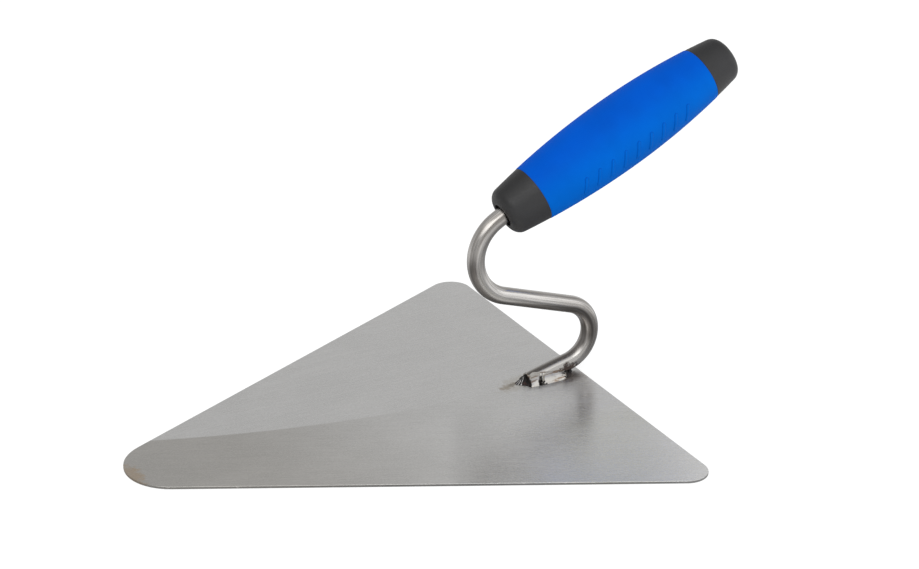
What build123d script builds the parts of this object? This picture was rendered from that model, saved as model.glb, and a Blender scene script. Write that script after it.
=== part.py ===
import os
from math import cos, radians, sin, sqrt, tan

from build123d import *

# Brick trowel: a flat triangular blade, a bent round-bar neck welded on behind the
# blade's middle, and a barrel handle moulded on the neck's tang in two plastics.
# The blade lies on z = 0 with its tip towards -X. The origin is on its underside,
# below the middle of the neck's foot; the handle rises towards +X, left is -Y.

# Blade
blade_length = 220.0  # heel edge to tip
blade_width = 234.0  # across the heel corners
blade_thick = 1.2
tip_radius = 22.5
corner_radius = 10.0
edge_round = 0.25
heel_x = 18.0  # heel edge behind the origin

# Neck: straight lengths between the corners of its centreline, and their headings
rod_d = 8.0
toe_x = -7.8  # front end of the foot
foot_sink = 0.8  # rod axis below the blade's top at the toe, ground away there
foot_length = 73.1
foot_angle = 14.3
bow_radius = 15.0
run_length = 133.3
run_angle = 162.0
knuckle_radius = 20.2
throat_length = 48.2
throat_angle = 30.65
mouth_radius = 60.0
handle_angle = 26.25
tang_length = 88.0
tang_flat_length = 24.0
tang_flat_depth = 1.0

# Welds between foot and blade
bead_start = -11.3
bead_straight = 17.1
bead_radius = 8.0
bead_sink = 4.2  # centre of the beads' round below the blade's top
left_reach = 8.3  # from the centreline to the outer edge of each side's bead
right_reach = 5.0
toe_point = 4.8  # nose of the weld ahead of the side beads
toe_height = 3.8
toe_lean = 2.2  # how far its back leans over the foot
toe_crown = 6.0  # times smaller at the top than at the foot
heel_bead_radius = 4.5
heel_bead_sink = 3.0

# Handle, measured along its axis from the front face
handle_length = 127.4
nose_inset = 0.6  # front face behind the neck's last corner
nose_d = 21.4
belly_at = 64.2
belly_d = 32.3
butt_d = 20.6
butt_dome = 1.0
nose_round = 5.0
butt_round = 5.0
front_cap = 17.0
rear_cap = 15.1
grip_wall = 2.2
grip_proud = 0.12
mouth_gap = 1.6  # round the rod where it enters the handle
mouth_depth = 5.5

# Row of plain raised bars on the left side of the grip
bar_count = 9
bar_pitch = 7.2
bar_length = 8.6
bar_width = 1.5
bar_slant = 68.0
bar_height = 0.35
bar_row_at = 64.7  # middle of the row
bar_row_drop = 3.3  # below the handle's widest line


def along(point, distance, angle):
    """The point at a distance and heading from another, in the XZ plane."""
    return (point[0] + distance * cos(radians(angle)), point[1] + distance * sin(radians(angle)))


toe = (toe_x, blade_thick - foot_sink)
bow = along(toe, foot_length, foot_angle)
knuckle = along(bow, run_length, run_angle)
mouth = along(knuckle, throat_length, throat_angle)
tang_end = along(mouth, tang_length, handle_angle)
nose = along(mouth, nose_inset, handle_angle)

handle_way = (cos(radians(handle_angle)), 0, sin(radians(handle_angle)))
handle_plane = Plane(origin=(nose[0], 0, nose[1]), x_dir=handle_way, z_dir=(0, -1, 0))
nose_plane = Plane(origin=(nose[0], 0, nose[1]), x_dir=(0, 1, 0), z_dir=handle_way)
handle_axis = Axis(handle_plane.origin, handle_way)
top_plane = Plane.XY.offset(blade_thick)
lean_plane = Plane(
    origin=(bead_start, 0, blade_thick), x_dir=(0, 1, 0), z_dir=(toe_height, 0, -toe_lean)
)
rear_joint = handle_length - rear_cap


def barrel_radius(at):
    """Handle radius at a place along it: one circle each way, level at the belly."""
    end, end_radius = (0, nose_d / 2) if at < belly_at else (handle_length, butt_d / 2)
    rise, run = belly_d / 2 - end_radius, end - belly_at
    arc_radius = (run**2 + rise**2) / (2 * rise)
    return belly_d / 2 - arc_radius + sqrt(arc_radius**2 - (at - belly_at) ** 2)


def barrel(start, end, change=0.0):
    """The handle's outline between two places, moved outwards by a change."""
    belly = (belly_at, belly_d / 2 + change)
    TangentArc(belly, (start, barrel_radius(start) + change), tangent=(-1, 0))
    TangentArc(belly, (end, barrel_radius(end) + change), tangent=(1, 0))


def ring(inner, outer):
    """A closed outline between two changes of the barrel, from joint to joint."""
    barrel(front_cap, rear_joint, inner)
    barrel(front_cap, rear_joint, outer)
    for joint in (front_cap, rear_joint):
        radius = barrel_radius(joint)
        Line((joint, radius + inner), (joint, radius + outer))


# Blade: the hull of three rounds, flat sheet with its edges eased
with BuildPart() as blade:
    with BuildSketch():
        with Locations((heel_x - blade_length + tip_radius, 0)):
            Circle(tip_radius)
        corner_y = blade_width / 2 - corner_radius
        with Locations((heel_x - corner_radius, corner_y), (heel_x - corner_radius, -corner_y)):
            Circle(corner_radius)
        make_hull()
    extrude(amount=blade_thick)
    fillet(blade.edges().group_by(Axis.Z)[-1] + blade.edges().group_by(Axis.Z)[0], edge_round)
blade.part.label = "blade"

# Neck: bent round bar, its foot ground flat on the blade, its tang end flattened
with BuildPart() as neck:
    with BuildLine(Plane.XZ) as route:
        FilletPolyline(
            toe, bow, knuckle, mouth, tang_end, radius=(bow_radius, knuckle_radius, mouth_radius)
        )
    with BuildSketch(Plane(origin=route.line @ 0, z_dir=route.line % 0)):
        Circle(rod_d / 2)
    sweep()
    split(bisect_by=top_plane, keep=Keep.TOP)
    flat_end = tang_length - nose_inset
    with BuildSketch(nose_plane.offset(flat_end - tang_flat_length)):
        with Locations((rod_d / 2, 0), (-rod_d / 2, 0)):
            Rectangle(2 * tang_flat_depth, 2 * rod_d)
    extrude(amount=2 * tang_flat_length, mode=Mode.SUBTRACT)
neck.part.label = "neck"

# Side welds: a rounded bead along each side of the foot, cut off leaning at the front
def side_bead(side, reach):
    """Place and section of one bead: the centre of its round, on the given side."""
    return side * (reach - sqrt(bead_radius**2 - bead_sink**2)), blade_thick - bead_sink


with BuildPart() as weld_left:
    left_centre = side_bead(-1, left_reach)
    with BuildSketch(Plane.YZ.offset(bead_start)):
        with Locations(left_centre):
            Circle(bead_radius)
    extrude(amount=bead_straight)
    with Locations((bead_start + bead_straight, *left_centre)):
        Sphere(bead_radius)
    split(bisect_by=top_plane, keep=Keep.TOP)
    split(bisect_by=Plane.XZ, keep=Keep.TOP)
    split(bisect_by=lean_plane, keep=Keep.TOP)
    add(neck.part, mode=Mode.SUBTRACT)
weld_left.part.label = "weld_left"

with BuildPart() as weld_right:
    right_centre = side_bead(1, right_reach)
    with BuildSketch(Plane.YZ.offset(bead_start)):
        with Locations(right_centre):
            Circle(bead_radius)
    extrude(amount=bead_straight)
    with Locations((bead_start + bead_straight, *right_centre)):
        Sphere(bead_radius)
    split(bisect_by=top_plane, keep=Keep.TOP)
    split(bisect_by=Plane.XZ, keep=Keep.BOTTOM)
    split(bisect_by=lean_plane, keep=Keep.TOP)
    add(neck.part, mode=Mode.SUBTRACT)
weld_right.part.label = "weld_right"

# Toe weld: a pointed bead closing the front of the foot, its back on the leaning cut
with BuildPart() as weld_toe:
    for height, lean, scale in ((0, 0, 1), (toe_height, toe_lean, 1 / toe_crown)):
        with BuildSketch(top_plane.offset(height)):
            with BuildLine():
                back = bead_start + lean
                left_end, right_end = (back, -left_reach * scale), (back, right_reach * scale)
                nose_tip = (back - toe_point * scale, (right_reach - left_reach) / 2 * scale)
                ThreePointArc(left_end, nose_tip, right_end)
                Line(right_end, left_end)
            make_face()
    loft(ruled=True)
weld_toe.part.label = "weld_toe"

# Heel weld: a low dome filling the wedge where the rod leaves the blade
with BuildPart() as weld_heel:
    underside = foot_sink + rod_d / 2 / cos(radians(foot_angle))
    lift_off = toe_x + underside / tan(radians(foot_angle))
    with Locations((lift_off, 0, blade_thick - heel_bead_sink)):
        Sphere(heel_bead_radius)
    split(bisect_by=top_plane, keep=Keep.TOP)
    add(neck.part, mode=Mode.SUBTRACT)
    add(weld_left.part, mode=Mode.SUBTRACT)
    add(weld_right.part, mode=Mode.SUBTRACT)
weld_heel.part.label = "weld_heel"

# Handle core: hard plastic moulded round the tang, waisted where the grip sits
with BuildPart() as handle_core:
    with BuildSketch(handle_plane) as half:
        with BuildLine():
            barrel(0, handle_length)
            TangentArc(
                (handle_length + butt_dome, 0), (handle_length, butt_d / 2), tangent=(0, 1)
            )
            Polyline((handle_length + butt_dome, 0), (0, 0), (0, nose_d / 2))
        make_face()
        fillet(half.vertices().group_by(Axis.X)[0].sort_by(Axis.Y)[-1], nose_round)
        fillet(half.vertices().group_by(Axis.X)[-2], butt_round)
    revolve(axis=handle_axis)
    with BuildSketch(handle_plane):
        with BuildLine():
            ring(-grip_wall, grip_wall)
        make_face()
    revolve(axis=handle_axis, mode=Mode.SUBTRACT)
    with BuildSketch(nose_plane):
        Circle(rod_d / 2 + mouth_gap)
    extrude(amount=mouth_depth, mode=Mode.SUBTRACT)
    add(neck.part, mode=Mode.SUBTRACT)
handle_core.part.label = "handle_core"

# Handle grip: soft sleeve moulded into the core's waist, with its raised bars
with BuildPart() as handle_grip:
    with BuildSketch(handle_plane):
        with BuildLine():
            ring(-grip_wall / 2, grip_proud + bar_height)
        make_face()
    revolve(axis=handle_axis)
    with BuildSketch(handle_plane):
        with Locations((bar_row_at, -bar_row_drop)):
            with GridLocations(bar_pitch, 1, bar_count, 1):
                SlotOverall(bar_length, bar_width, rotation=bar_slant)
    extrude(amount=belly_d, mode=Mode.INTERSECT)
    with BuildSketch(handle_plane):
        with BuildLine():
            ring(-grip_wall, grip_proud)
        make_face()
    revolve(axis=handle_axis)
handle_grip.part.label = "handle_grip"

os.makedirs("parts", exist_ok=True)
for piece in (blade, neck, weld_left, weld_right, weld_toe, weld_heel, handle_core, handle_grip):
    export_step(piece.part, f"parts/{piece.part.label}.step")
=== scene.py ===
"""Brick trowel: brushed blade, bent and polished neck, ground and burnt welds, two-plastic handle.

Lengths are in metres in the part's own frame: the blade lies on z = 0 with its tip towards -X,
the neck and the handle's axis lie in the XZ plane, and the user's left is -Y.
"""

import math

import bmesh
import bpy
import numpy as np
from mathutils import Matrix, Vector


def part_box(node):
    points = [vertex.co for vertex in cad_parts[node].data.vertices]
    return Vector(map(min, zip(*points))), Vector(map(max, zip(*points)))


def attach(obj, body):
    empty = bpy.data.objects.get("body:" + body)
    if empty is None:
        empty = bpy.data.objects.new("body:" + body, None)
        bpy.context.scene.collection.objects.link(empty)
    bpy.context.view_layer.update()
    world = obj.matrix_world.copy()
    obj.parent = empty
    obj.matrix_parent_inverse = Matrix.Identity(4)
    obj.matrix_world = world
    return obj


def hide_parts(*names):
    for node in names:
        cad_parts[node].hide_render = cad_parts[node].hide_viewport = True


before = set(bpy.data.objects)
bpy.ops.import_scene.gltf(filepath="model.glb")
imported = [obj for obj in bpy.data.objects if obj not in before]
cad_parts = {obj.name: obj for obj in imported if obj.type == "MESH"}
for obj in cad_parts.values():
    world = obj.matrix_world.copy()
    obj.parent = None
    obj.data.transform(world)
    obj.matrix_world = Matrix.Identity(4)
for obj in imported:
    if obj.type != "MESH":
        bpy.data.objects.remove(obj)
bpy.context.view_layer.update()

MM = 0.001
blade_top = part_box("blade")[1].z

# Neck: round bar, its straight runs between corners, their headings and the bends' radii
bar_radius = 4.0 * MM
toe_x = -7.8 * MM
foot_sink = 0.8 * MM
runs = np.array([73.1, 133.3, 48.2, 88.0]) * MM
headings = np.radians([14.3, 162.0, 30.65, 26.25])
bend_radii = np.array([15.0, 20.2, 60.0]) * MM
tang_flat_length = 24.0 * MM
tang_flat_depth = 1.0 * MM

# Handle, along its axis from the front face
nose_inset = 0.6 * MM
handle_length = 127.4 * MM
nose_radius = 10.7 * MM
belly_at = 64.2 * MM
belly_radius = 16.15 * MM
butt_radius = 10.3 * MM
front_joint = 17.0 * MM
rear_joint = 112.3 * MM
grip_wall = 2.2 * MM
grip_proud = 0.12 * MM
grip_lip_length = 0.5 * MM
grip_lip_depth = 0.3 * MM
grip_crowding, grip_crowd_turn = 0.62, 0.2

# Raised bars on the left of the grip
bar_count = 9
bar_pitch = 7.2 * MM
bar_length = 8.6 * MM
bar_width = 1.5 * MM
bar_slant = math.radians(68.0)
bar_height = 0.35 * MM
bar_row_at = 64.7 * MM
bar_row_drop = 3.3 * MM
bar_flank = 0.45 * MM

# Side beads: a cap of a circle, with a shorter, narrower front and a round heel end
bead_start = -11.3 * MM
bead_end = 5.8 * MM
bead_heel_length = 6.2 * MM
left_bead_reach = 8.3 * MM
right_bead_reach = 5.0 * MM
bead_round = 8.0 * MM
bead_sink = 4.2 * MM
bead_front_height = 0.70
bead_front_length = 4.5 * MM
bead_front_reach = 0.5
bead_cap_share = 0.7
bead_under_bar = 0.15 * MM
bead_behind_toe = -0.5 * MM
bead_girth = 20.0 * MM
edge_wander, edge_pitch = 0.35 * MM, 2.2 * MM
facet_level, facet_depth, facet_pitch = 0.97, 0.05, 3.0 * MM
grain_depth, grain_along, grain_across = 0.045 * MM, 0.9 * MM, 0.7 * MM
grain_from = 0.2 * MM

# Notch that parts the left bead: two cuts, each with its offset, half width and depth
notch_x = -1.5 * MM
notch_slant = 0.53
notch_cuts = np.array([[0, 0.35, 1.3], [1.6, 0.28, 1.0]]) * MM
notch_top, notch_fade = 3.4 * MM, 1.2 * MM

# Toe weld: its outline on the blade, its crown and its ridges
toe_point = 4.8 * MM
toe_height = 3.8 * MM
toe_lean = 2.2 * MM
toe_crown_lean = 1.1 * MM
toe_crown_y = -0.6 * MM
toe_overlap = 0.35 * MM
toe_front_share = 0.72
toe_side_power, toe_point_power, toe_hollow_power = 0.75, 1.8, 1.5
toe_ridges = 15.0
toe_ridge_depth, toe_grain_depth = 0.10, 0.06
toe_grain_round, toe_grain_up = 50, 12
toe_girth = 30.0 * MM
toe_slope_length = 6.0 * MM

# The neck's corners as complex numbers x + iz, and the handle's axis from the last of them
foot_start = complex(toe_x, blade_top - foot_sink)
corners = foot_start + np.cumsum(runs * np.exp(1j * headings))
handle_way = np.exp(1j * headings[-1])
nose = corners[2] + nose_inset * handle_way
handle_out = np.array([handle_way.real, 0, handle_way.imag])
handle_up = np.array([-handle_way.imag, 0, handle_way.real])
nose_place = np.array([nose.real, 0, nose.imag])
foot_place = np.array([toe_x, 0, blade_top - foot_sink])
foot_way = np.array([np.cos(headings[0]), 0, np.sin(headings[0])])

# Ways that the looks follow: the angle between the blade's two grindings, the way across the
# fan of painted reflection tones on the nearer one, and the handle's lower left side, towards
# which painted light lifts the handle's colour
brush_turn = 0.42
fan_way = (0.885, -0.466)
lower_left = (0.37, -0.56, -0.74)


def smooth(t):
    """Smooth step from 0 to 1: 3t squared minus 2t cubed, t held between 0 and 1."""
    t = np.clip(t, 0, 1)
    return t * t * (3 - 2 * t)


def ripple(x, y, seed, octaves=4):
    """Soft irregularity between about -1 and 1: sines of growing pitch at turned angles, added."""
    rng = np.random.default_rng(seed)
    total = np.zeros(np.broadcast(x, y).shape)
    for octave in range(octaves):
        for _ in range(3):
            turn, phase = rng.uniform(0, 2 * np.pi, 2)
            total += np.sin(2**octave * (x * np.cos(turn) + y * np.sin(turn)) + phase) / 2**octave
    return total / 4


def skin(name, points, uv, stands_for, wrap, painted_flank_shade=None):
    """A closed mesh from a grid of points. The second parameter wraps round; the first wraps too
    if asked, or its first and last rows are poles. uv gives each grid place its (u, v), with one
    more row or column where the grid wraps. The last, optional argument is kept as a value on each
    point: a mask for painted shade. Faces are turned over if their volume comes out negative, and
    poles are merged to one point."""
    rows, cols = points.shape[:2]
    i, j = np.meshgrid(np.arange(rows if wrap else rows - 1), np.arange(cols), indexing="ij")
    corner_i = np.stack([i, i + 1, i + 1, i], -1).reshape(-1, 4)
    corner_j = np.stack([j, j, j + 1, j + 1], -1).reshape(-1, 4)
    flat = points.reshape(-1, 3)
    faces = (corner_i % rows) * cols + corner_j % cols
    a, b, c, d = (flat[faces[:, k]] for k in range(4))
    if (np.cross(b - a, c - a) * a + np.cross(c - a, d - a) * a).sum() < 0:
        faces, corner_i, corner_j = faces[:, ::-1], corner_i[:, ::-1], corner_j[:, ::-1]
    mesh = bpy.data.meshes.new(name)
    mesh.from_pydata(flat, [], faces.tolist())
    layer = mesh.uv_layers.new(name="along")
    layer.data.foreach_set("uv", uv[corner_i, corner_j].astype(np.float32).ravel())
    if painted_flank_shade is not None:
        values = mesh.attributes.new("painted_flank_shade", "FLOAT", "POINT")
        values.data.foreach_set("value", painted_flank_shade.astype(np.float32).ravel())
    poles = bmesh.new()
    poles.from_mesh(mesh)
    bmesh.ops.remove_doubles(poles, verts=poles.verts, dist=1e-7)
    poles.to_mesh(mesh)
    poles.free()
    mesh.polygons.foreach_set("use_smooth", np.ones(len(mesh.polygons), bool))
    mesh.set_sharp_from_angle(angle=math.radians(50))
    piece = bpy.data.objects.new(name, mesh)
    bpy.context.scene.collection.objects.link(piece)
    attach(piece, "root")
    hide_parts(stands_for)
    return piece


def on_handle(along, out, angle):
    """Points round the handle's axis. The angle is 0 at the top and a quarter turn at the left."""
    return (
        nose_place
        + along[..., None] * handle_out
        + (out * np.cos(angle))[..., None] * handle_up
        - (out * np.sin(angle))[..., None] * np.array([0, 1, 0])
    )


def barrel(along):
    """Handle radius: a circle each way from the belly, level there, through the end radii."""
    end = np.where(along < belly_at, 0, handle_length)
    rise = belly_radius - np.where(along < belly_at, nose_radius, butt_radius)
    arc = ((end - belly_at) ** 2 + rise**2) / (2 * rise)
    return belly_radius - arc + np.sqrt(arc**2 - (along - belly_at) ** 2)


def neck_line(count):
    """Centreline of the bent bar: the heading is constant on straights and turns evenly in the
    bends, and the place is the running sum of the heading."""
    turns = np.abs(np.diff(headings))
    cut = bend_radii * np.tan(turns / 2)
    straights = runs - np.append(cut, 0) - np.insert(cut, 0, 0)
    lengths = np.stack([bend_radii * turns, straights[1:]], 1)
    lengths = np.insert(lengths.ravel(), 0, straights[0])
    knots = np.insert(np.cumsum(lengths), 0, 0)
    fine = np.linspace(0, knots[-1], 20001)
    heading = np.interp(fine, knots, np.repeat(headings, 2))
    step = np.exp(1j * heading)
    place = np.insert(np.cumsum((step[1:] + step[:-1]) / 2 * fine[1]), 0, 0)
    along = np.linspace(0, knots[-1], count)
    line = foot_start + np.interp(along, fine, place.real) + 1j * np.interp(along, fine, place.imag)
    return along, line, np.interp(along, fine, heading)


def neck_bar(rows=760, cols=56):
    """A circle carried square to the centreline. Below the blade's top it is pressed flat on it,
    and near the far end two sides are pressed in. Both ends close to a point."""
    along, place, heading = neck_line(rows)
    angle = np.linspace(0, 2 * np.pi, cols, endpoint=False)
    radius = np.full(rows, bar_radius)
    radius[[0, -1]] = 0
    rise = radius[:, None] * np.cos(angle)
    side = radius[:, None] * np.sin(angle)
    flat = bar_radius - tang_flat_depth * (along > along[-1] - tang_flat_length)[:, None]
    side = np.clip(side, -flat, flat)
    x = place.real[:, None] - rise * np.sin(heading)[:, None]
    z = place.imag[:, None] + rise * np.cos(heading)[:, None]
    points = np.stack([x, side, np.maximum(z, blade_top)], -1)
    v, u = np.meshgrid(along, np.linspace(0, 2 * np.pi * bar_radius, cols + 1), indexing="ij")
    return skin("neck_bar", points, np.stack([u, v], -1), "neck", False)


def grip_sleeve(rows=372, cols=150):
    """The barrel from joint to joint, closed by a wall one thickness inside. Both lips are eased by
    part of a quarter circle. The row of raised bars stands on its left: each bar is the space
    within half its width of a slanted line. Columns crowd together on the left side."""
    even = np.linspace(0, 2 * np.pi, cols, endpoint=False)
    angle = even - grip_crowding * np.sin(even - np.pi / 2 - grip_crowd_turn)
    along = np.linspace(front_joint, rear_joint, rows)
    inward = np.minimum(along - front_joint, rear_joint - along) / grip_lip_length
    ease = grip_lip_depth * (1 - np.sqrt(1 - (1 - np.clip(inward, 0, 1)) ** 2))
    out = (barrel(along) + grip_proud - ease)[:, None] * np.ones(cols)
    height = out * np.cos(angle)
    marks = np.zeros_like(out)
    for k in range(bar_count):
        off = along[:, None] - bar_row_at - (k - (bar_count - 1) / 2) * bar_pitch
        drop = height + bar_row_drop
        lengthwise = np.abs(off * np.cos(bar_slant) + drop * np.sin(bar_slant))
        across = -off * np.sin(bar_slant) + drop * np.cos(bar_slant)
        gap = np.hypot(np.maximum(lengthwise - (bar_length - bar_width) / 2, 0), across)
        marks = np.maximum(marks, smooth((bar_width / 2 - gap) / bar_flank + 0.5))
    out = out + bar_height * marks * (np.sin(angle) > 0)
    inner_along = along[::-8]
    inner = (barrel(inner_along) - grip_wall)[:, None] * np.ones(cols)
    # mask of the bars' sloping flanks, where painted shade is put on the grip
    flanks = np.vstack([4 * marks * (1 - marks) * (np.sin(angle) > 0), 0 * inner])
    along, out = np.append(along, inner_along), np.vstack([out, inner])
    points = on_handle(along[:, None] * np.ones(cols), out, angle)
    v = np.append(along, along[0])
    v, u = np.meshgrid(v, np.linspace(0, 2 * np.pi * belly_radius, cols + 1), indexing="ij")
    return skin("grip_sleeve", points, np.stack([u, v], -1), "handle_grip", True, flanks)


def outside_bar(points):
    """Points inside the foot's bar are moved out, square to its axis, to a little under its skin."""
    along = (points - foot_place) @ foot_way
    off = points - foot_place - along[..., None] * foot_way
    gap = np.linalg.norm(off, axis=-1)
    wanted = bar_radius - bead_under_bar
    push = np.where((gap < wanted) & (along > bead_behind_toe), wanted / np.maximum(gap, 1e-9), 1)
    moved = foot_place + along[..., None] * foot_way + off * push[..., None]
    moved[..., 2] = np.maximum(moved[..., 2], blade_top)
    return moved


def cap_profile(reach, cols):
    """The cap of a circle above the blade, from its outer edge up to the neck's middle plane, then
    back along the blade: distances out and up."""
    middle = reach - np.sqrt(bead_round**2 - bead_sink**2)
    above = int(cols * bead_cap_share)
    edge_angle = np.arccos(bead_sink / bead_round)
    turn = np.linspace(edge_angle, -np.arcsin(middle / bead_round), above)
    out = np.append(middle + bead_round * np.sin(turn), np.linspace(0, reach, cols - above + 1)[:-1])
    up = np.append(bead_round * np.cos(turn) - bead_sink, np.zeros(cols - above))
    return out, up


def side_bead(name, stands_for, side, reach, seed, front_reach, notched=False, rows=130, cols=72):
    """A weld bead along the foot: the cap of a circle above the blade, carried along the foot and
    drawn in by a quarter circle at the heel end. It grows from a lower, narrower front, and its
    first third leans back with height. Its outer edge wanders, its ground top has soft facets, and
    a slanted notch of two bell-shaped cuts can part it into two stretches."""
    out, up = cap_profile(reach, cols)
    length = np.linspace(0, 1, rows)
    total = bead_end + bead_heel_length - bead_start
    x = bead_start + total * length
    past = np.clip((x - bead_end) / bead_heel_length, 0, 1)
    shrink = np.sqrt(np.maximum(1 - past**2, 0))
    shrink[[0, -1]] = 0
    grown = smooth((x - bead_start) / bead_front_length)
    width = front_reach + (1 - front_reach) * grown
    width = width * (1 + edge_wander * ripple(x / edge_pitch, 0 * x, seed) / reach)
    height = bead_front_height + (1 - bead_front_height) * grown
    height = height * (facet_level + facet_depth * ripple(x / facet_pitch, 0 * x, seed + 1))
    y = out[None] * (shrink * width)[:, None]
    z = up[None] * (shrink * height)[:, None]
    x = x[:, None] + 0 * y
    x[0] = x[1]
    rough = ripple(x / grain_along, y / grain_across, seed + 2) * grain_depth
    z = np.where(z > grain_from, z + rough, z)
    if notched:
        outward = smooth((y - notch_top) / notch_fade)
        for offset, half_width, depth in notch_cuts:
            cut = np.exp(-(((x + notch_slant * y - notch_x - offset) / half_width) ** 2))
            z = np.where(z > 0, np.maximum(z - depth * cut * outward, 0), z)
    lean = np.clip(z / toe_height, 0, 1.2) * toe_lean * np.clip(1 - length * 3, 0, 1)[:, None]
    points = np.stack([x + lean, side * y, blade_top + np.maximum(z, 0)], -1)
    sweep = np.linspace(0, 1, cols + 1)
    u, v = np.meshgrid(length * total, sweep, indexing="ij")
    uv = np.stack([v * bead_girth, u], -1)
    return skin(name, outside_bar(points), uv, stands_for, False)


def toe_weld(rows=60, cols=120):
    """A pointed, ridged cone of weld ahead of the foot. Its front outline on the blade is a sine
    raised to a power, out to the toe point, and its back is straight. The outline shrinks with
    height as a power, which hollows the sides, and its middle moves to the crown, which leans over
    the foot. Ridges are a sine round the front, strongest half way up."""
    turn = np.linspace(0, 1, cols, endpoint=False)
    front = turn < toe_front_share
    t = np.where(front, turn / toe_front_share, (turn - toe_front_share) / (1 - toe_front_share))
    left, right = -left_bead_reach, right_bead_reach * bead_front_reach
    y = np.where(front, left + (right - left) * t**toe_side_power, right - (right - left) * t)
    x = np.where(front, -toe_point * np.sin(np.pi * t) ** toe_point_power, 0.0)
    rise = np.linspace(0, 1, rows)[:, None]
    shrink = (1 - rise) ** toe_hollow_power
    ridges = np.where(front, np.sin(turn * 2 * np.pi * toe_ridges), 0) * np.sin(np.pi * rise) ** 0.5
    rough = ripple(turn[None] * toe_grain_round, rise * toe_grain_up, 11) * front * (rise > 0)
    reach = shrink * (1 + toe_ridge_depth * ridges + toe_grain_depth * rough * shrink)
    back = bead_start + toe_overlap + toe_crown_lean * rise
    height = blade_top + toe_height * rise + 0 * y
    points = np.stack([back + x * reach, toe_crown_y * rise + y * reach, height], -1)
    base = points[:1].mean(1, keepdims=True) + 0 * points[:1]
    points = np.vstack([base, points])
    slope = np.linspace(0, toe_slope_length, rows + 1)
    u, v = np.meshgrid(slope, np.append(turn, 1) * toe_girth, indexing="ij")
    return skin("toe_weld", points, np.stack([v, u], -1), "weld_toe", False)


# ---------------------------------------------------------------- materials


def link(tree, source, target):
    """Joins a node's output, or a plain value, to an input socket."""
    if isinstance(source, bpy.types.NodeSocket):
        tree.links.new(source, target)
    else:
        target.default_value = source


def add(tree, kind, settings=None, **inputs):
    """A node with its settings and inputs; its first output is returned."""
    node = tree.nodes.new("ShaderNode" + kind)
    for key, value in (settings or {}).items():
        setattr(node, key, value)
    for key, value in inputs.items():
        index = int(key[1:]) if key[0] == "_" else key.replace("__", " ")
        link(tree, value, node.inputs[index])
    return node.outputs[0]


def calc(tree, operation, *values):
    """A Math node."""
    return add(tree, "Math", {"operation": operation}, **{f"_{k}": v for k, v in enumerate(values)})


def plus(tree, first, *others):
    """Values added, from the left."""
    for other in others:
        first = calc(tree, "ADD", first, other)
    return first


def times(tree, first, *others):
    """Values multiplied, from the left."""
    for other in others:
        first = calc(tree, "MULTIPLY", first, other)
    return first


def minus(tree, first, second):
    """The first value less the second."""
    return calc(tree, "SUBTRACT", first, second)


def ramp(tree, value, low, high, bottom=0.0, top=1.0):
    """A value carried smoothly from one range to another."""
    settings = {"interpolation_type": "SMOOTHSTEP"}
    return add(tree, "MapRange", settings, _0=value, _1=low, _2=high, _3=bottom, _4=top)


def spread(tree, value, bottom, top):
    """Noise, which lies mostly between 0.3 and 0.7, carried to another range."""
    return ramp(tree, value, 0.3, 0.7, bottom, top)


def parts(tree, vector):
    """A vector's three parts."""
    node = tree.nodes.new("ShaderNodeSeparateXYZ")
    link(tree, vector, node.inputs[0])
    return node.outputs


def mix(tree, factor, first, second, kind="MIX"):
    """A colour mix."""
    node = tree.nodes.new("ShaderNodeMix")
    node.data_type, node.blend_type = "RGBA", kind
    link(tree, factor, node.inputs[0])
    link(tree, first, node.inputs[6])
    link(tree, second, node.inputs[7])
    return node.outputs[2]


def noise(tree, place, scale, detail, roughness=0.55):
    """Cloudy noise, from about 0.3 to 0.7; detail adds finer and finer layers."""
    return add(tree, "TexNoise", None, Vector=place, Scale=scale, Detail=detail, Roughness=roughness)


def stretched(tree, place, scale, turn=0.0):
    """Coordinates turned about Z, then scaled differently each way."""
    turned = add(tree, "Mapping", {"vector_type": "POINT"}, Vector=place, Rotation=(0, 0, turn))
    return add(tree, "Mapping", {"vector_type": "POINT"}, Vector=turned, Scale=scale)


def group(name, inputs, outputs, build):
    """A shader node group with named sockets; build fills it from its input and output nodes."""
    tree = bpy.data.node_groups.new(name, "ShaderNodeTree")
    for label, kind in inputs:
        tree.interface.new_socket(label, in_out="INPUT", socket_type="NodeSocket" + kind)
    for label, kind in outputs:
        tree.interface.new_socket(label, in_out="OUTPUT", socket_type="NodeSocket" + kind)
    build(tree, tree.nodes.new("NodeGroupInput").outputs, tree.nodes.new("NodeGroupOutput").inputs)
    return tree


def use(tree, shared, **inputs):
    """A node group placed in a material; its outputs are returned."""
    node = tree.nodes.new("ShaderNodeGroup")
    node.node_tree = shared
    for key, value in inputs.items():
        link(tree, value, node.inputs[key])
    return node.outputs


def build_brushing(tree, given, out):
    """Fine parallel belt marks: noise drawn out along Y, at three finenesses."""
    place = given["Place"]
    fine = noise(tree, stretched(tree, place, (2900, 75, 1)), 1.0, 2.0)
    middle = noise(tree, stretched(tree, place, (1300, 48, 1)), 1.0, 3.0)
    broad = noise(tree, stretched(tree, place, (320, 14, 1)), 1.0, 2.0)
    marks = plus(tree, times(tree, fine, 0.45), times(tree, middle, 0.35), times(tree, broad, 0.2))
    link(tree, marks, out["Marks"])


def build_scratches(tree, given, out):
    """Sparse thin scratches: drawn-out noise cut off near its top, at one slant."""
    place = add(tree, "Mapping", None, Vector=given["Place"], Rotation=(0, 0, 0.5))
    lines = noise(tree, stretched(tree, place, (2600, 90, 1)), 1.0, 1.0)
    patches = noise(tree, given["Place"], 90.0, 2.0)
    cut = times(tree, ramp(tree, lines, 0.70, 0.76), ramp(tree, patches, 0.52, 0.66))
    link(tree, cut, out["Scratches"])


def build_clouds(tree, given, out):
    """Broad uneven patches and fine speckle."""
    broad = noise(tree, given["Place"], 28.0, 3.0)
    speckle = noise(tree, given["Place"], 1400.0, 2.0)
    link(tree, spread(tree, broad, 0.0, 1.0), out["Clouds"])
    link(tree, speckle, out["Speckle"])


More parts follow.
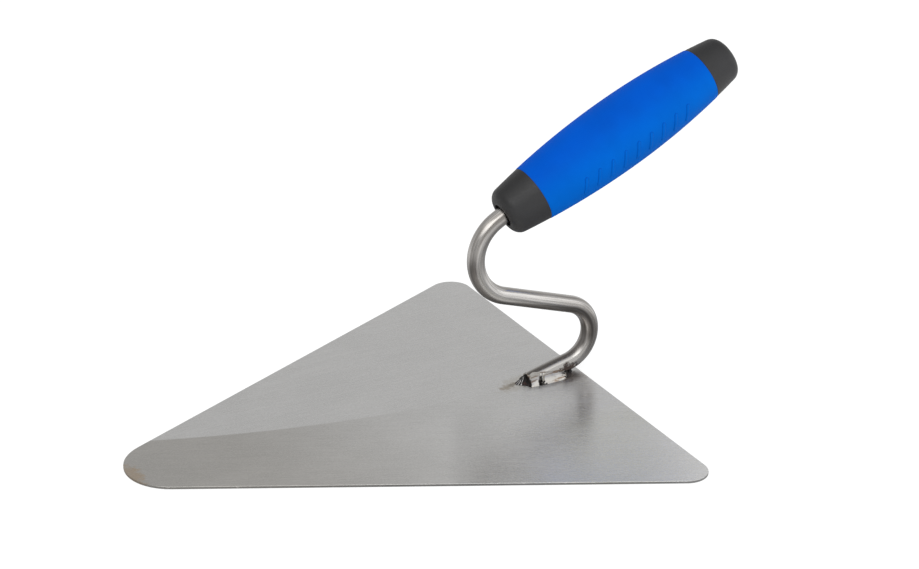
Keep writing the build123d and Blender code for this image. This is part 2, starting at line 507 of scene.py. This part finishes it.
PLACE = [("Place", "Vector")]
brushing = group("brushing", PLACE, [("Marks", "Float")], build_brushing)
scratches = group("scratches", PLACE, [("Scratches", "Float")], build_scratches)
clouds = group("clouds", PLACE, [("Clouds", "Float"), ("Speckle", "Float")], build_clouds)


def finish(name, build, **constants):
    """A material: build returns the shader inputs that vary over the surface."""
    material = bpy.data.materials.new(name)
    material.use_nodes = True
    tree = material.node_tree
    shader = tree.nodes["Principled BSDF"]
    for key, value in constants.items():
        shader.inputs[key.replace("_", " ")].default_value = value
    for key, value in build(tree).items():
        link(tree, value, shader.inputs[key])
    return material


def bump(tree, height, distance, strength):
    """The surface's direction, tilted by a height; distance is the height's full depth."""
    return add(tree, "Bump", None, Strength=strength, Distance=distance, Height=height)


def object_place(tree):
    """The place on the part, in metres in its own frame."""
    return tree.nodes.new("ShaderNodeTexCoord").outputs["Object"]


def own_uv(tree):
    """The place on a computed surface: round it, then along it, in metres."""
    return add(tree, "UVMap", {"uv_map": "along"})


def grey(tree, tone):
    """A grey of the given tone."""
    return add(tree, "CombineColor", None, _0=tone, _1=tone, _2=tone)


def tinted(tree, colour, tone):
    """A colour multiplied by a grey tone."""
    return mix(tree, 1.0, colour, grey(tree, tone), "MULTIPLY")


def spot(tree, x, y, middle, reach, turn=0.0):
    """Squared distance from a place on the blade, 1 at the edge of a turned ellipse."""
    dx, dy = minus(tree, x, middle[0]), minus(tree, y, middle[1])
    squares = []
    for ahead, reach_ahead in ((turn, reach[0]), (turn + math.pi / 2, reach[1])):
        part_x = times(tree, dx, math.cos(ahead) / reach_ahead)
        part_y = times(tree, dy, math.sin(ahead) / reach_ahead)
        part = plus(tree, part_x, part_y)
        squares.append(times(tree, part, part))
    return plus(tree, *squares)


def blade_marks(tree, place, near):
    """Grinding marks: along the blade beyond the crease, turned to the near edge before it."""
    beyond_place = stretched(tree, place, (1, 1, 1), math.pi / 2)
    before_place = stretched(tree, place, (1, 1, 1), math.pi / 2 + brush_turn)
    beyond = use(tree, brushing, Place=beyond_place)[0]
    before = use(tree, brushing, Place=before_place)[0]
    return plus(tree, times(tree, before, near), times(tree, beyond, minus(tree, 1.0, near)))


def blade_reflection_tones(tree, x, y, near):
    """Bright steel, with painted shade darker before the crease towards the tip. Across the nearer
    grinding, painted reflection tones change like a fan: a greyer middle, a painted highlight on
    the heel corner, and between them a faint painted warm tint that offsets a blue reflection."""
    # painted shade: before the crease the tip side is darker
    tipward = ramp(tree, x, -0.04, -0.165)
    bright, dark = (0.66, 0.655, 0.645, 1), (0.495, 0.48, 0.455, 1)
    steel = mix(tree, times(tree, near, tipward), bright, dark)
    # painted reflection tones across the nearer grinding, with a painted highlight on the heel
    # corner
    across = plus(tree, times(tree, x, fan_way[0]), times(tree, y, fan_way[1]))
    heel_corner_highlight = ramp(tree, across, 0.035, 0.078, 1.04, 1.34)
    darker = ramp(tree, across, -0.0445, -0.0370, 0.0, 0.085)
    lighter = ramp(tree, across, -0.0350, -0.0130, 0.0, 0.105)
    fan = plus(tree, minus(tree, heel_corner_highlight, darker), lighter)
    off_crease = ramp(tree, y, -0.006, -0.03)
    fan = plus(tree, 1.0, times(tree, minus(tree, fan, 1.0), off_crease))
    # painted warm tint on the near side that offsets a blue reflection
    warm_tint = times(tree, ramp(tree, across, -0.002, 0.014), ramp(tree, across, 0.056, 0.036))
    warm_tint = times(tree, warm_tint, ramp(tree, y, -0.036, -0.052))
    return mix(tree, warm_tint, tinted(tree, steel, fan), (1.0, 1.0, 0.965, 1), "MULTIPLY")


# Stains on the blade: middle, reach, turn, colour and depth. Three make the heat streak ahead of
# the toe, one the burnt patch behind the left bead, the fifth is painted contact shadow along the
# left bead's outer edge, and the last lies on the tip.
STAINS_AND_SHADOW = (
    ((-0.0192, -0.0022), (0.0072, 0.0026), 0.30, (0.27, 0.21, 0.15, 1), 0.62),
    ((-0.0170, -0.0018), (0.0032, 0.0020), 0.30, (0.12, 0.11, 0.10, 1), 0.60),
    ((-0.0150, -0.0010), (0.0125, 0.0058), 0.41, (0.44, 0.40, 0.32, 1), 0.34),
    ((0.0120, -0.0070), (0.0085, 0.0052), 0.0, (0.23, 0.165, 0.135, 1), 0.34),
    # painted contact shadow along the left bead's outer edge
    ((-0.0010, -0.0098), (0.0120, 0.0022), 0.0, (0.28, 0.27, 0.27, 1), 0.45),
    ((-0.2010, -0.0030), (0.0055, 0.0120), 0.0, (0.46, 0.33, 0.20, 1), 0.55),
)


def stained_and_shaded(tree, steel, place, x, y):
    """Steel with the stains and the painted contact shadow, each an ellipse with an uneven edge."""
    uneven = spread(tree, noise(tree, place, 520.0, 3.0), -0.45, 0.45)
    for middle, reach, turn, colour, depth in STAINS_AND_SHADOW:
        edge = plus(tree, spot(tree, x, y, middle, reach, turn), uneven)
        steel = mix(tree, ramp(tree, edge, 1.25, 0.1, 0.0, depth), steel, colour)
    return steel


def blade_finish(tree):
    """Satin sheet, ground in two directions that meet at a soft crease from the far shoulder of
    the tip to the toe: there y is 1.2 times the square of x + 0.03, less 0.0047. The sheet carries
    stains at the tip and round the foot and a painted contact shadow along the left bead, and its
    cut edges carry painted shade, broken by painted glints at nicks."""
    place = object_place(tree)
    x, y, _ = parts(tree, place)
    bend = times(tree, calc(tree, "POWER", plus(tree, x, 0.03), 2.0), 1.2)
    crease = plus(tree, minus(tree, y, bend), 0.0047)
    near = ramp(tree, crease, 0.0006, -0.0006)
    marks = blade_marks(tree, place, near)
    cut = use(tree, scratches, Place=place)[0]
    cloud, speckle = use(tree, clouds, Place=place)
    steel = blade_reflection_tones(tree, x, y, near)
    steel = tinted(tree, steel, ramp(tree, cloud, 0, 1, 0.975, 1.025))
    steel = tinted(tree, steel, spread(tree, marks, 0.935, 1.065))
    steel = tinted(tree, steel, spread(tree, speckle, 0.955, 1.045))
    steel = stained_and_shaded(tree, steel, place, x, y)
    facing = parts(tree, tree.nodes.new("ShaderNodeTexCoord").outputs["Normal"])
    # painted shade on the cut edges, broken by painted glints where the nick noise is high
    edge_shade = ramp(tree, calc(tree, "ABSOLUTE", facing[2]), 0.85, 0.35)
    nick_glints = ramp(tree, noise(tree, place, 260.0, 3.0), 0.62, 0.70, 0.70, 1.15)
    steel = tinted(tree, steel, plus(tree, 1.0, times(tree, edge_shade, minus(tree, nick_glints, 1.0))))
    height = minus(tree, marks, times(tree, cut, 1.2))
    # marks spread a reflection across themselves, so the tangent is square to them
    across_x = times(tree, near, math.sin(brush_turn))
    across_y = ramp(tree, near, 0, 1, 1.0, math.cos(brush_turn))
    return {
        "Base Color": steel,
        "Roughness": plus(tree, spread(tree, marks, 0.22, 0.30), times(tree, cloud, 0.04)),
        "Normal": bump(tree, height, 0.03 * MM, 0.6),
        "Tangent": add(tree, "CombineXYZ", None, _0=across_x, _1=across_y, _2=0.0),
    }


def bar_reflection_stripes(tree, turn, along, wander):
    """Painted dark reflection bands on the bar: a stripe inside the lower bend, then one from that
    bend along the run's lower left, which moves round the bar as it goes."""
    bend = plus(tree, calc(tree, "COSINE", plus(tree, turn, 0.40)), wander)
    bend = times(tree, ramp(tree, bend, 0.84, 0.98), ramp(tree, along, 0.054, 0.044))
    lag = plus(tree, turn, ramp(tree, along, 0.040, 0.105, 1.24, 0.72))
    run = ramp(tree, plus(tree, calc(tree, "COSINE", lag), wander), 0.86, 0.98)
    run = times(tree, run, ramp(tree, along, 0.031, 0.040), ramp(tree, along, 0.136, 0.119))
    return calc(tree, "MAXIMUM", bend, run)


def bar_finish(tree):
    """Polished bar: belt marks along its length, darker drawn-out patches, two painted dark
    reflection stripes that are also a little rougher, a foot ground bright on its left with the bead
    and painted lighter there as a highlight, and a burnt patch below, where the bar leaves the
    blade."""
    place = own_uv(tree)
    round_bar, along, _ = parts(tree, place)
    marks = use(tree, brushing, Place=place)[0]
    patch = noise(tree, stretched(tree, place, (520, 16, 1)), 1.0, 4.0, 0.6)
    dark, bright = (0.42, 0.395, 0.37, 1), (0.68, 0.66, 0.64, 1)
    steel = mix(tree, ramp(tree, patch, 0.36, 0.62), dark, bright)
    steel = tinted(tree, steel, spread(tree, marks, 0.80, 1.12))
    streak = noise(tree, stretched(tree, place, (1100, 22, 1)), 1.0, 3.0, 0.6)
    steel = tinted(tree, steel, ramp(tree, streak, 0.35, 0.65, 0.82, 1.12))
    turn = calc(tree, "DIVIDE", round_bar, bar_radius)
    dark_reflection = bar_reflection_stripes(tree, turn, along, times(tree, minus(tree, patch, 0.5), 0.25))
    # painted reflection: near-black stripes along the bar
    steel = mix(tree, times(tree, dark_reflection, 0.76), steel, (0.060, 0.050, 0.044, 1))
    # the foot's left side is ground bright with the bead, and its lighter tone is also a painted
    # highlight
    foot = ramp(tree, along, 0.034, 0.024)
    left = ramp(tree, calc(tree, "COSINE", plus(tree, turn, 1.45)), 0.5, 0.85)
    steel = mix(tree, times(tree, foot, left, 0.75), steel, (0.74, 0.72, 0.69, 1))
    below = calc(tree, "COSINE", plus(tree, turn, 2.3))
    away = calc(tree, "ABSOLUTE", minus(tree, along, 0.0190))
    uneven = times(tree, minus(tree, noise(tree, place, 700.0, 3.0), 0.5), 1.6)
    burnt = plus(tree, minus(tree, below, times(tree, away, 105.0)), uneven)
    burnt = times(tree, ramp(tree, burnt, 0.15, 0.6), 0.9)
    return {
        "Base Color": mix(tree, burnt, steel, (0.055, 0.030, 0.022, 1)),
        "Roughness": plus(tree, spread(tree, marks, 0.19, 0.30), times(tree, dark_reflection, 0.1)),
        "Normal": bump(tree, marks, 0.04 * MM, 0.5),
    }


def bead_burns(tree, x, y, z, uneven):
    """Burnt places on the ground beads: the notch and its foot, the heel end and the front face,
    which leans back with height."""
    notch_foot_x = notch_x - notch_slant * left_bead_reach
    line_middle, line_reach = (notch_foot_x, -left_bead_reach), (1.0 * MM, 4.2 * MM)
    foot_middle, foot_reach = (notch_foot_x + 1.4 * MM, -left_bead_reach), (1.8 * MM, 1.3 * MM)
    line = spot(tree, x, y, line_middle, line_reach, -math.atan(notch_slant))
    foot = spot(tree, x, y, foot_middle, foot_reach)
    notch = calc(tree, "MINIMUM", plus(tree, line, uneven), plus(tree, foot, uneven))
    heel = plus(tree, spot(tree, x, y, (11.5 * MM, -4.0 * MM), (5.2 * MM, 9.0 * MM)), uneven)
    burnt = calc(tree, "MAXIMUM", ramp(tree, notch, 1.2, 0.5), ramp(tree, heel, 1.2, 0.5))
    front = minus(tree, x, times(tree, z, toe_lean / toe_height))
    front = minus(tree, front, times(tree, uneven, 0.3 * MM))
    front = ramp(tree, front, bead_start + 0.2 * MM, bead_start - 0.2 * MM)
    return calc(tree, "MAXIMUM", burnt, front)


def ground_finish(tree):
    """Bright ground weld: marks along the bead, straw seams between its facets, a black notch in
    the left bead, a burnt heel end and a burnt front."""
    place = object_place(tree)
    x, y, z = parts(tree, place)
    marks = use(tree, brushing, Place=stretched(tree, place, (1, 1, 1), math.pi / 2))[0]
    seams = noise(tree, stretched(tree, place, (150, 750, 750)), 1.0, 3.0)
    bright, warm_tint = (0.70, 0.68, 0.64, 1), (0.33, 0.235, 0.165, 1)
    steel = mix(tree, ramp(tree, seams, 0.50, 0.62, 0, 0.9), bright, warm_tint)
    steel = tinted(tree, steel, spread(tree, marks, 0.86, 1.06))
    uneven = spread(tree, noise(tree, place, 900.0, 3.0), -0.7, 0.7)
    burnt = bead_burns(tree, x, y, z, uneven)
    return {
        "Base Color": mix(tree, times(tree, burnt, 0.96), steel, (0.014, 0.010, 0.009, 1)),
        "Roughness": plus(tree, spread(tree, marks, 0.36, 0.50), times(tree, burnt, 0.2)),
        "Normal": bump(tree, plus(tree, marks, times(tree, seams, 2.0)), 0.06 * MM, 0.6),
    }


def scale_look(tree, bare):
    """Weld scale: near-black skin with red-brown patches, bare metal where the mask says."""
    place = object_place(tree)
    patch = noise(tree, place, 1100.0, 4.0, 0.6)
    black, brown = (0.006, 0.005, 0.005, 1), (0.050, 0.013, 0.009, 1)
    scale = mix(tree, ramp(tree, noise(tree, place, 380.0, 2.0), 0.54, 0.68, 0, 0.7), black, brown)
    shown = times(tree, bare, ramp(tree, patch, 0.36, 0.6))
    return {
        "Base Color": mix(tree, shown, scale, (0.66, 0.65, 0.63, 1)),
        "Metallic": ramp(tree, shown, 0, 1, 0.25, 1.0),
        "Roughness": ramp(tree, shown, 0, 1, 0.5, 0.3),
        "Normal": bump(tree, patch, 0.2 * MM, 0.7),
    }


def burnt_finish(tree):
    """Weld left as it froze, with specks of bare metal."""
    return scale_look(tree, ramp(tree, noise(tree, object_place(tree), 900.0, 2.0), 0.58, 0.68))


def toe_finish(tree):
    """The toe weld's scale, rubbed to bare metal along the tops of the ridges at its point."""
    round_toe = parts(tree, own_uv(tree))[0]
    wander = times(tree, noise(tree, object_place(tree), 800.0, 2.0), 3.0)
    ridge = plus(tree, times(tree, round_toe, 2 * math.pi * toe_ridges / toe_girth), wander)
    ridge = ramp(tree, calc(tree, "SINE", ridge), 0.2, 0.8)
    off_point = calc(tree, "ABSOLUTE", minus(tree, round_toe, 0.26 * toe_girth))
    point = ramp(tree, off_point, 0.13 * toe_girth, 0.05 * toe_girth)
    return scale_look(tree, times(tree, ridge, point))


def lit_side_facing(tree):
    """How far the handle's surface faces its lower left side, from -1 to 1, for the painted light
    and shade on the handle.
    """
    normal = tree.nodes.new("ShaderNodeTexCoord").outputs["Normal"]
    facing = add(tree, "VectorMath", {"operation": "DOT_PRODUCT"}, _0=normal, _1=lower_left)
    return facing.node.outputs["Value"]


def core_finish(tree):
    """Black hard plastic: fine spark-eroded grain, faint handling marks, and painted shade that
    darkens it away from its lower left side."""
    place = object_place(tree)
    grain = noise(tree, place, 2600.0, 3.0)
    cloud, speckle = use(tree, clouds, Place=place)
    cut = use(tree, scratches, Place=place)[0]
    black = mix(tree, cloud, (0.022, 0.022, 0.023, 1), (0.030, 0.030, 0.033, 1))
    # painted shade: darker the further the surface turns from the lower left
    black = tinted(tree, black, ramp(tree, lit_side_facing(tree), -0.4, 0.3, 0.45, 1.0))
    return {
        "Base Color": mix(tree, times(tree, cut, 0.35), black, (0.16, 0.16, 0.165, 1)),
        "Roughness": spread(tree, speckle, 0.44, 0.56),
        "Normal": bump(tree, grain, 0.06 * MM, 0.5),
    }


def grip_finish(tree):
    """Blue soft elastomer: even matt grain, uneven in broad patches, painted light on its lower left
    side and painted shade away from it, and painted shade on the sloping flanks of the bars."""
    place = object_place(tree)
    grain = noise(tree, place, 2200.0, 3.0)
    cloud, speckle = use(tree, clouds, Place=place)
    deep, light = (0.0, 0.100, 0.62, 1), (0.0, 0.158, 0.74, 1)
    # painted light and shade: a lit blue on the lower left side, a shaded blue away from it
    blue = mix(tree, ramp(tree, lit_side_facing(tree), -0.5, 0.75), deep, light)
    blue = tinted(tree, blue, ramp(tree, cloud, 0, 1, 0.94, 1.06))
    blue = mix(tree, ramp(tree, speckle, 0.55, 0.8, 0, 0.25), blue, (0.0, 0.15, 0.70, 1))
    flanks = add(tree, "Attribute", {"attribute_name": "painted_flank_shade"}).node.outputs["Fac"]
    # painted shade on the bars' sloping flanks, uneven with the speckle
    flank_shade_amount = times(tree, flanks, spread(tree, speckle, 0.35, 0.6))
    return {
        "Base Color": mix(tree, flank_shade_amount, blue, (0.0, 0.035, 0.26, 1)),
        "Roughness": ramp(tree, cloud, 0, 1, 0.52, 0.62),
        "Normal": bump(tree, grain, 0.05 * MM, 0.5),
    }


blade_steel = finish("blade_steel", blade_finish, Metallic=1.0, Anisotropic=0.65)
bar_steel = finish("bar_steel", bar_finish, Metallic=1.0)
ground_weld = finish("ground_weld", ground_finish, Metallic=1.0)
burnt_weld = finish("burnt_weld", burnt_finish)
ridged_weld = finish("ridged_weld", toe_finish)
black_plastic = finish(
    "black_plastic", core_finish, Metallic=0.0, Coat_Weight=0.06, Coat_Roughness=0.22
)
blue_grip = finish("blue_grip", grip_finish, Metallic=0.0, Specular_IOR_Level=0.03)


def dress(piece, material):
    """One material all over a piece."""
    piece.data.materials.clear()
    piece.data.materials.append(material)


dress(neck_bar(), bar_steel)
dress(grip_sleeve(), blue_grip)
left_bead = side_bead("left_bead", "weld_left", -1, left_bead_reach, 3, 1.0, notched=True)
right_bead = side_bead("right_bead", "weld_right", 1, right_bead_reach, 5, bead_front_reach)
dress(left_bead, ground_weld)
dress(right_bead, ground_weld)
dress(toe_weld(), ridged_weld)
dress(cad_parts["blade"], blade_steel)
dress(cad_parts["weld_heel"], burnt_weld)
dress(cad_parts["handle_core"], black_plastic)

# ---------------------------------------------------------------- stage, lights, camera

floor_level = -0.1 * MM
floor_square = ((-6, -6), (6, -6), (6, 6), (-6, 6))
floor_corners = [(x, y, floor_level) for x, y in floor_square]
floor_mesh = bpy.data.meshes.new("floor")
floor_mesh.from_pydata(floor_corners, [], [(0, 1, 2, 3)])
floor = bpy.data.objects.new("floor", floor_mesh)
bpy.context.scene.collection.objects.link(floor)


def studio_floor():
    """Pale floor: a grey diffuse surface with painted shade round the part, which reflections and
    bounced light see; where it is looked at directly it is lifted towards white."""
    material = bpy.data.materials.new("studio_floor")
    material.use_nodes = True
    tree = material.node_tree
    tree.nodes.clear()
    away = tree.nodes.new("ShaderNodeVectorMath")
    away.operation = "LENGTH"
    link(tree, object_place(tree), away.inputs[0])
    # painted shade on the floor round the part, which the metal reflects
    shade = ramp(tree, away.outputs["Value"], 0.06, 0.32, 0.36, 1.0)
    shaded_paint = add(tree, "BsdfDiffuse", None, Color=grey(tree, shade))
    glow = add(tree, "Emission", None, Color=(1, 1, 1, 1), Strength=0.80)
    pale = add(tree, "BsdfDiffuse", None, Color=(0.34, 0.34, 0.34, 1))
    lifted = add(tree, "AddShader", None, _0=pale, _1=glow)
    seen = add(tree, "LightPath")
    surface = add(tree, "MixShader", None, _0=seen, _1=shaded_paint, _2=lifted)
    link(tree, surface, tree.nodes.new("ShaderNodeOutputMaterial").inputs["Surface"])
    return material


floor_mesh.materials.append(studio_floor())

sky_front = (-0.466, -0.885)


def studio_sky():
    """A white sky: brightest overhead to the front, a little dimmer to the west."""
    world = bpy.data.worlds.new("studio")
    world.use_nodes = True
    tree = world.node_tree
    east, north, height = parts(tree, tree.nodes.new("ShaderNodeTexCoord").outputs["Generated"])
    front = plus(tree, times(tree, east, sky_front[0]), times(tree, north, sky_front[1]))
    level = ramp(tree, height, 0.45, 0.75, 0.66, 0.52)
    overhead = ramp(tree, height, 0.56, 0.78, 0.0, 0.60)
    level = plus(tree, level, times(tree, overhead, ramp(tree, front, -0.25, 0.05)))
    level = times(tree, level, ramp(tree, east, 0.1, 0.6, 0.90, 1.06))
    link(tree, level, tree.nodes["Background"].inputs["Strength"])
    tree.nodes["Background"].inputs["Color"].default_value = (1, 1, 1, 1)
    return world


bpy.context.scene.world = studio_sky()


def softbox(name, place, target, size, power):
    """A rectangular area lamp that faces the target."""
    light = bpy.data.lights.new(name, "AREA")
    light.shape, light.size, light.size_y, light.energy = "RECTANGLE", size[0], size[1], power
    lamp = bpy.data.objects.new(name, light)
    lamp.location = place
    lamp.rotation_euler = (Vector(place) - Vector(target)).to_track_quat("Z", "Y").to_euler()
    bpy.context.scene.collection.objects.link(lamp)


lit_place = (0.0, 0.0, 0.05)
softbox("key", (-0.9, -1.0, 1.3), lit_place, (1.6, 1.0), 8.0)
softbox("fill", (1.2, -0.9, 0.7), lit_place, (0.8, 0.8), 1.5)

view_azimuth = math.radians(-27.75)
view_elevation = math.radians(23.61)
view_distance = 1.1526
view_target = Vector((0.016, 0.1128, 0.0))
view_back = Vector((
    math.sin(view_azimuth) * math.cos(view_elevation),
    -math.cos(view_azimuth) * math.cos(view_elevation),
    math.sin(view_elevation),
))
lens = bpy.data.cameras.new("camera")
lens.sensor_width, lens.lens = 36.0, 89.94
camera = bpy.data.objects.new("camera", lens)
camera.location = view_target + view_back * view_distance
camera.rotation_euler = view_back.to_track_quat("Z", "Y").to_euler()
bpy.context.scene.collection.objects.link(camera)
bpy.context.scene.camera = camera
bpy.context.scene.view_settings.view_transform = "Standard"

bpy.context.view_layer.update()
